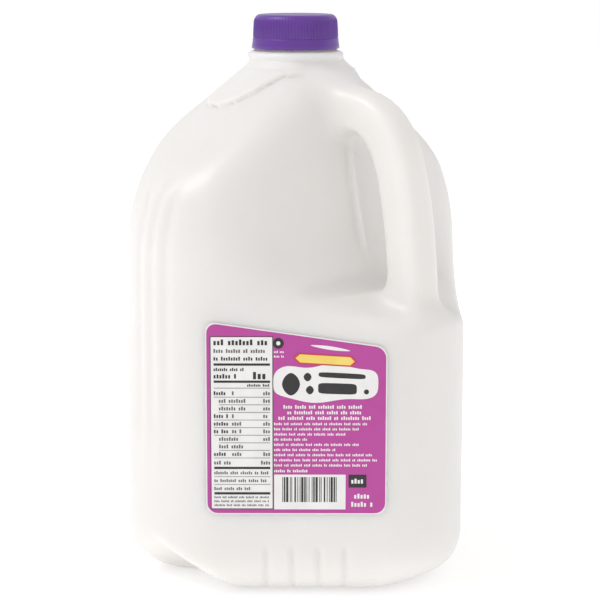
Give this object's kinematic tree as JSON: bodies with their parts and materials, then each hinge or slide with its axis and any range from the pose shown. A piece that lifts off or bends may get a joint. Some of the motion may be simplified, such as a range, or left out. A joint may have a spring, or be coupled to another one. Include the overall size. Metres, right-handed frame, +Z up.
{
  "type": "plastic milk jug",
  "caption": "Square blow-moulded gallon milk jug with a corner handle, scooped sides, a ribbed snap cap and a front label, full and shut.",
  "frame": {"origin": "on the standing surface, under the middle of the body's box", "axes": "+Z up; +X towards the corner that carries the handle; the mould's parting plane is Y = 0; the label's face looks along +X -Y"},
  "size_m": [0.1808, 0.1808, 0.255],
  "materials": {
    "jug": "translucent natural polyethylene, satin, with milk showing white through it",
    "cap": "purple moulded polyethylene, semi-gloss, with fine upright ribs",
    "label": "printed film in magenta with white, yellow and black fields, satin"
  },
  "bodies": {
    "root": {"jug": "jug", "cap": "cap", "label": "label"}
  },
  "joints": []
}
